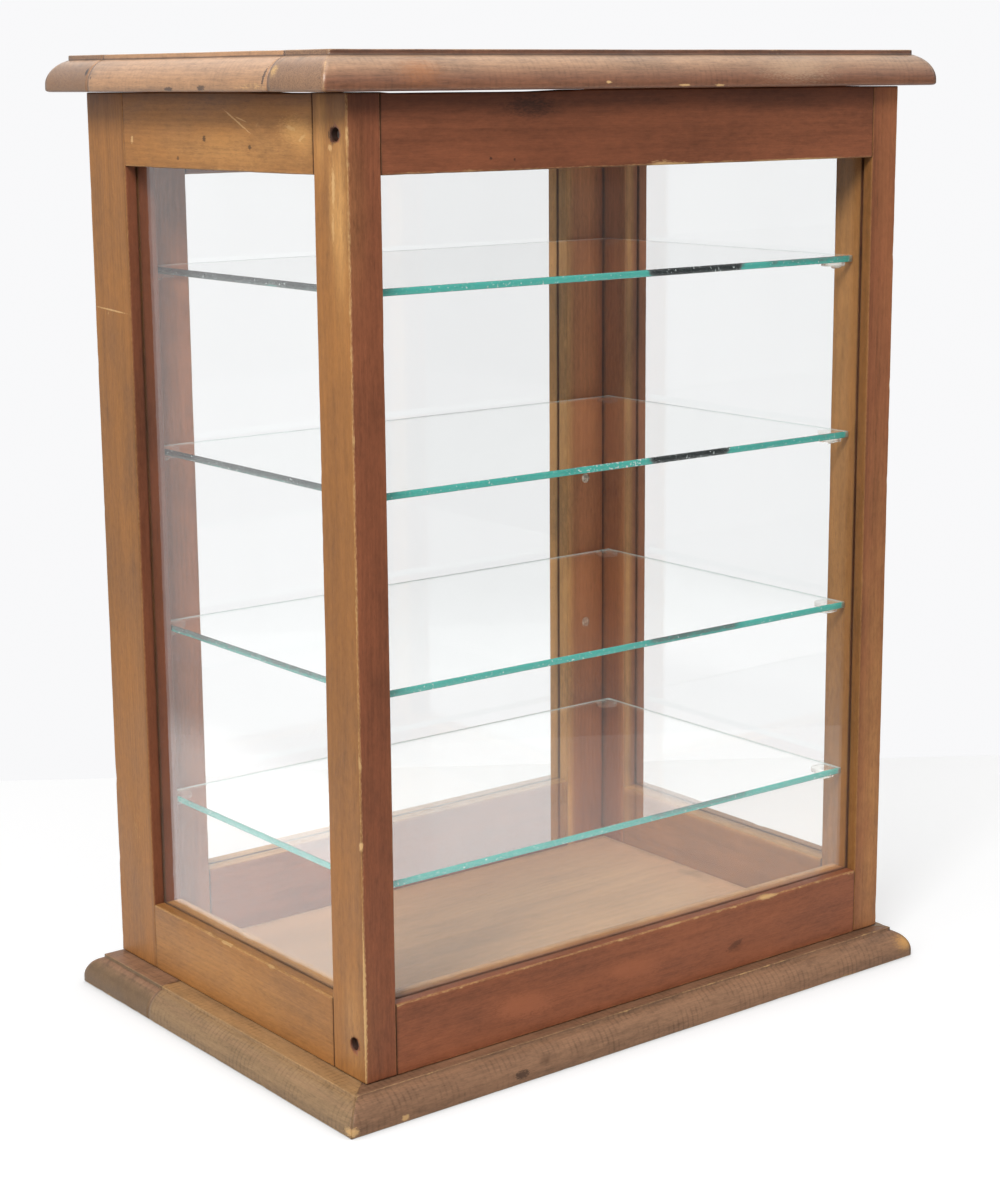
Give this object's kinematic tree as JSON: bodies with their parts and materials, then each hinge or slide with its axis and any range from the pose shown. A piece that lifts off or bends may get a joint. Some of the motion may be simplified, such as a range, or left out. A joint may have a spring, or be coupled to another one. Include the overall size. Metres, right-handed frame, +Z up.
{
  "type": "countertop display case",
  "caption": "Upright glazed wooden countertop display case with moulded base and top, adjustable glass shelves on clear pegs, and a framed glass rear door on brass hinges.",
  "frame": {"origin": "middle of the footprint, on the surface that the case stands on", "axes": "+Z up, +X to the right as seen from the front, +Y towards the back, where the door is; the glazed front faces -Y"},
  "size_m": [0.502, 0.3366, 0.6448],
  "materials": {
    "stained_wood": "worn satin varnish over a warm brown stain",
    "moulding_wood": "worn satin varnish, darker brown",
    "floor_wood": "dull varnish",
    "pane_glass": "clear window glass",
    "shelf_glass": "clear plate glass with a green-blue edge",
    "clear_plastic": "clear moulded plastic",
    "brass": "aged brass",
    "steel": "dull plated steel"
  },
  "bodies": {
    "case": {"front_left_post": "stained_wood", "front_right_post": "stained_wood", "back_left_post": "stained_wood", "back_right_post": "stained_wood", "front_top_rail": "stained_wood", "front_bottom_rail": "stained_wood", "left_top_rail": "stained_wood", "left_bottom_rail": "stained_wood", "right_top_rail": "stained_wood", "right_bottom_rail": "stained_wood", "front_pane": "pane_glass", "left_pane": "pane_glass", "right_pane": "pane_glass", "post_screw_left_top": "steel", "post_screw_left_bottom": "steel", "post_screw_right_top": "steel", "post_screw_right_bottom": "steel", "base_front_rail": "moulding_wood", "base_left_rail": "moulding_wood", "base_right_rail": "moulding_wood", "base_back_rail": "moulding_wood", "floor_board": "floor_wood", "top_front_rail": "moulding_wood", "top_back_rail": "moulding_wood", "top_left_rail": "moulding_wood", "top_right_rail": "moulding_wood", "top_panel": "stained_wood", "shelf_peg_1_front_left": "clear_plastic", "shelf_peg_1_front_right": "clear_plastic", "shelf_peg_1_back_left": "clear_plastic", "shelf_peg_1_back_right": "clear_plastic", "shelf_peg_2_front_left": "clear_plastic", "shelf_peg_2_front_right": "clear_plastic", "shelf_peg_2_back_left": "clear_plastic", "shelf_peg_2_back_right": "clear_plastic", "shelf_peg_3_front_left": "clear_plastic", "shelf_peg_3_front_right": "clear_plastic", "shelf_peg_3_back_left": "clear_plastic", "shelf_peg_3_back_right": "clear_plastic", "shelf_peg_4_front_left": "clear_plastic", "shelf_peg_4_front_right": "clear_plastic", "shelf_peg_4_back_left": "clear_plastic", "shelf_peg_4_back_right": "clear_plastic", "hinge_upper_post_leaf": "brass", "hinge_upper_pin": "brass", "hinge_lower_post_leaf": "brass", "hinge_lower_pin": "brass"},
    "door": {"door_hinge_stile": "stained_wood", "door_knob_stile": "stained_wood", "door_top_rail": "stained_wood", "door_bottom_rail": "stained_wood", "door_pane": "pane_glass", "hinge_upper_door_leaf": "brass", "hinge_lower_door_leaf": "brass", "door_knob": "brass", "door_knob_bolt": "steel"},
    "shelf_1": {"glass_shelf_1": "shelf_glass"},
    "shelf_2": {"glass_shelf_2": "shelf_glass"},
    "shelf_3": {"glass_shelf_3": "shelf_glass"},
    "shelf_4": {"glass_shelf_4": "shelf_glass"}
  },
  "joints": [
    {"name": "door_hinge", "type": "hinge", "parent": "case", "child": "door", "pos_m": [-0.20155, 0.15895, 0.3213], "axis": [0, 0, 1], "range_deg": [0, 170]},
    {"name": "shelf_1_lift", "type": "slide", "parent": "case", "child": "shelf_1", "axis": [0, 0, 1], "range_m": [0, 0.06]},
    {"name": "shelf_2_lift", "type": "slide", "parent": "case", "child": "shelf_2", "axis": [0, 0, 1], "range_m": [0, 0.06]},
    {"name": "shelf_3_lift", "type": "slide", "parent": "case", "child": "shelf_3", "axis": [0, 0, 1], "range_m": [0, 0.06]},
    {"name": "shelf_4_lift", "type": "slide", "parent": "case", "child": "shelf_4", "axis": [0, 0, 1], "range_m": [0, 0.06]}
  ]
}
